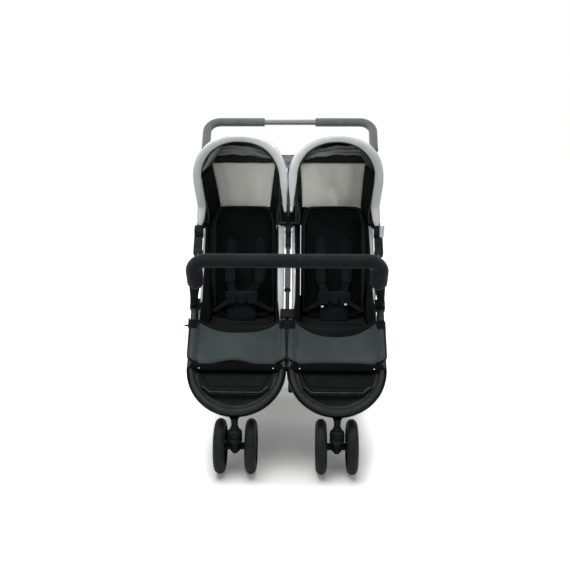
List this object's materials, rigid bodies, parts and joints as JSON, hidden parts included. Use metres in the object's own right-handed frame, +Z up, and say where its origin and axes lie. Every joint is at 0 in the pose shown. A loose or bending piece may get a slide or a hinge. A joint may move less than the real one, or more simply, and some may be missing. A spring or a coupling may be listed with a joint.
{
  "type": "double stroller",
  "caption": "Side-by-side double stroller with folding frame, hooded seats, padded bumper bar, swivel twin casters and a basket.",
  "frame": {"origin": "on the floor under the middle of the object's bounding box", "axes": "+Z up, the children look along -Y, the pusher stands at +Y, +X is to the right in the picture"},
  "size_m": [0.744, 0.8927, 1.0708],
  "materials": {
    "satin_black_frame": "satin black paint on steel tube",
    "grey_tube": "mid grey anodised tube",
    "black_plastic": "black moulded plastic, fine texture",
    "black_tyre": "smooth black foam-filled tyre",
    "grey_foam": "dark grey closed-cell foam sleeve",
    "black_fabric": "black woven polyester with padding",
    "slate_fabric": "dark blue-grey coated fabric",
    "light_grey_fabric": "light lavender-grey woven fabric",
    "basket_fabric": "black woven nylon"
  },
  "bodies": {
    "front_frame": {"front_frame_left": "satin_black_frame", "front_frame_right": "satin_black_frame", "centre_bracket": "black_plastic", "centre_post": "satin_black_frame", "footrest_shield_left": "black_plastic", "footrest_shield_right": "black_plastic", "hinge_housing_left": "black_plastic", "hinge_housing_right": "black_plastic", "hinge_housing_centre": "black_plastic", "seat_pad_left": "black_fabric", "seat_pad_right": "black_fabric", "crotch_pad_left": "black_fabric", "crotch_pad_right": "black_fabric", "seat_frame": "satin_black_frame", "seat_bar": "satin_black_frame", "basket": "basket_fabric", "caster_housing_left": "black_plastic", "caster_housing_right": "black_plastic", "bumper_bracket_left": "black_plastic", "bumper_bracket_right": "black_plastic"},
    "handle_frame": {"handle_tube": "grey_tube", "grip_left": "grey_foam", "grip_right": "grey_foam", "upper_crossbar": "satin_black_frame", "centre_upper_tube": "satin_black_frame", "knuckle_left": "black_plastic", "knuckle_right": "black_plastic", "knuckle_centre": "black_plastic", "canopy_fabric_left": "light_grey_fabric", "canopy_fabric_right": "light_grey_fabric"},
    "rear_frame": {"rear_leg_left": "satin_black_frame", "rear_leg_right": "satin_black_frame", "hub_block_left": "black_plastic", "hub_block_right": "black_plastic", "rear_axle": "satin_black_frame"},
    "brake": {"brake_pedal": "black_plastic"},
    "bumper": {"bumper_bar": "grey_foam"},
    "latch": {"storage_latch": "black_plastic"},
    "rear_wheel_left": {"rear_tyre_left": "black_tyre", "rear_rim_left": "black_plastic"},
    "caster_left": {"caster_fork_left": "black_plastic"},
    "front_wheel_left_a": {"front_tyre_left_a": "black_tyre", "front_rim_left_a": "black_plastic"},
    "front_wheel_left_b": {"front_tyre_left_b": "black_tyre", "front_rim_left_b": "black_plastic"},
    "canopy_front_left": {"canopy_front_bow_left": "satin_black_frame"},
    "canopy_middle_left": {"canopy_middle_bow_left": "satin_black_frame"},
    "back_left": {"seat_back_left": "black_fabric"},
    "calf_left": {"calf_rest_left": "slate_fabric"},
    "rear_wheel_right": {"rear_tyre_right": "black_tyre", "rear_rim_right": "black_plastic"},
    "caster_right": {"caster_fork_right": "black_plastic"},
    "front_wheel_right_a": {"front_tyre_right_a": "black_tyre", "front_rim_right_a": "black_plastic"},
    "front_wheel_right_b": {"front_tyre_right_b": "black_tyre", "front_rim_right_b": "black_plastic"},
    "canopy_front_right": {"canopy_front_bow_right": "satin_black_frame"},
    "canopy_middle_right": {"canopy_middle_bow_right": "satin_black_frame"},
    "back_right": {"seat_back_right": "black_fabric"},
    "calf_right": {"calf_rest_right": "slate_fabric"}
  },
  "joints": [
    {"name": "frame_fold", "type": "hinge", "parent": "front_frame", "child": "handle_frame", "pos_m": [0, 0.05, 0.7], "axis": [-1, 0, 0], "range_deg": [0, 90], "deforming": ["canopy_fabric_left", "canopy_fabric_right"]},
    {"name": "rear_leg_fold", "type": "hinge", "parent": "front_frame", "child": "rear_frame", "pos_m": [0, 0.02397, 0.62924], "axis": [-1, 0, 0], "range_deg": [0, 45]},
    {"name": "brake_press", "type": "hinge", "parent": "rear_frame", "child": "brake", "pos_m": [0, 0.3, 0.1175], "axis": [-1, 0, 0], "range_deg": [0, 25]},
    {"name": "bumper_swing", "type": "hinge", "parent": "front_frame", "child": "bumper", "pos_m": [0, -0.15935, 0.50634], "axis": [1, 0, 0], "range_deg": [0, 55]},
    {"name": "latch_turn", "type": "hinge", "parent": "front_frame", "child": "latch", "pos_m": [-0.3195, -0.18955, 0.43395], "axis": [1, 0, 0], "range_deg": [0, 60]},
    {"name": "canopy_open_left", "type": "hinge", "parent": "handle_frame", "child": "canopy_front_left", "pos_m": [-0.16, 0.07925, 0.72729], "axis": [-1, 0, 0], "range_deg": [0, 40], "deforming": ["canopy_fabric_left"]},
    {"name": "canopy_middle_left", "type": "hinge", "parent": "handle_frame", "child": "canopy_middle_left", "pos_m": [-0.16, 0.07925, 0.72729], "axis": [-1, 0, 0], "range_deg": [0, 20], "deforming": ["canopy_fabric_left"]},
    {"name": "seat_recline_left", "type": "hinge", "parent": "front_frame", "child": "back_left", "pos_m": [-0.16, 0.0723, 0.386], "axis": [1, 0, 0], "range_deg": [-35, 0], "deforming": ["canopy_fabric_left"]},
    {"name": "calf_tilt_left", "type": "hinge", "parent": "front_frame", "child": "calf_left", "pos_m": [-0.16, -0.1803, 0.381], "axis": [-1, 0, 0], "range_deg": [-30, 35]},
    {"name": "caster_swivel_left", "type": "hinge", "parent": "front_frame", "child": "caster_left", "pos_m": [-0.16, -0.38895, 0.0875], "axis": [0, 0, 1], "continuous": true},
    {"name": "rear_spin_left", "type": "hinge", "parent": "rear_frame", "child": "rear_wheel_left", "pos_m": [-0.351, 0.3, 0.1175], "axis": [1, 0, 0], "continuous": true},
    {"name": "front_spin_left_a", "type": "hinge", "parent": "caster_left", "child": "front_wheel_left_a", "pos_m": [-0.209, -0.35895, 0.0875], "axis": [1, 0, 0], "continuous": true},
    {"name": "front_spin_left_b", "type": "hinge", "parent": "caster_left", "child": "front_wheel_left_b", "pos_m": [-0.111, -0.35895, 0.0875], "axis": [1, 0, 0], "continuous": true},
    {"name": "canopy_open_right", "type": "hinge", "parent": "handle_frame", "child": "canopy_front_right", "pos_m": [0.16, 0.07925, 0.72729], "axis": [-1, 0, 0], "range_deg": [0, 40], "deforming": ["canopy_fabric_right"]},
    {"name": "canopy_middle_right", "type": "hinge", "parent": "handle_frame", "child": "canopy_middle_right", "pos_m": [0.16, 0.07925, 0.72729], "axis": [-1, 0, 0], "range_deg": [0, 20], "deforming": ["canopy_fabric_right"]},
    {"name": "seat_recline_right", "type": "hinge", "parent": "front_frame", "child": "back_right", "pos_m": [0.16, 0.0723, 0.386], "axis": [1, 0, 0], "range_deg": [-35, 0], "deforming": ["canopy_fabric_right"]},
    {"name": "calf_tilt_right", "type": "hinge", "parent": "front_frame", "child": "calf_right", "pos_m": [0.16, -0.1803, 0.381], "axis": [-1, 0, 0], "range_deg": [-30, 35]},
    {"name": "caster_swivel_right", "type": "hinge", "parent": "front_frame", "child": "caster_right", "pos_m": [0.16, -0.38895, 0.0875], "axis": [0, 0, 1], "continuous": true},
    {"name": "rear_spin_right", "type": "hinge", "parent": "rear_frame", "child": "rear_wheel_right", "pos_m": [0.351, 0.3, 0.1175], "axis": [1, 0, 0], "continuous": true},
    {"name": "front_spin_right_a", "type": "hinge", "parent": "caster_right", "child": "front_wheel_right_a", "pos_m": [0.111, -0.35895, 0.0875], "axis": [1, 0, 0], "continuous": true},
    {"name": "front_spin_right_b", "type": "hinge", "parent": "caster_right", "child": "front_wheel_right_b", "pos_m": [0.209, -0.35895, 0.0875], "axis": [1, 0, 0], "continuous": true}
  ],
  "couplings": [
    {"joint": "rear_leg_fold", "follows": "frame_fold", "ratio": 0.5},
    {"joint": "canopy_middle_left", "follows": "canopy_open_left", "ratio": 0.5},
    {"joint": "canopy_middle_right", "follows": "canopy_open_right", "ratio": 0.5}
  ]
}
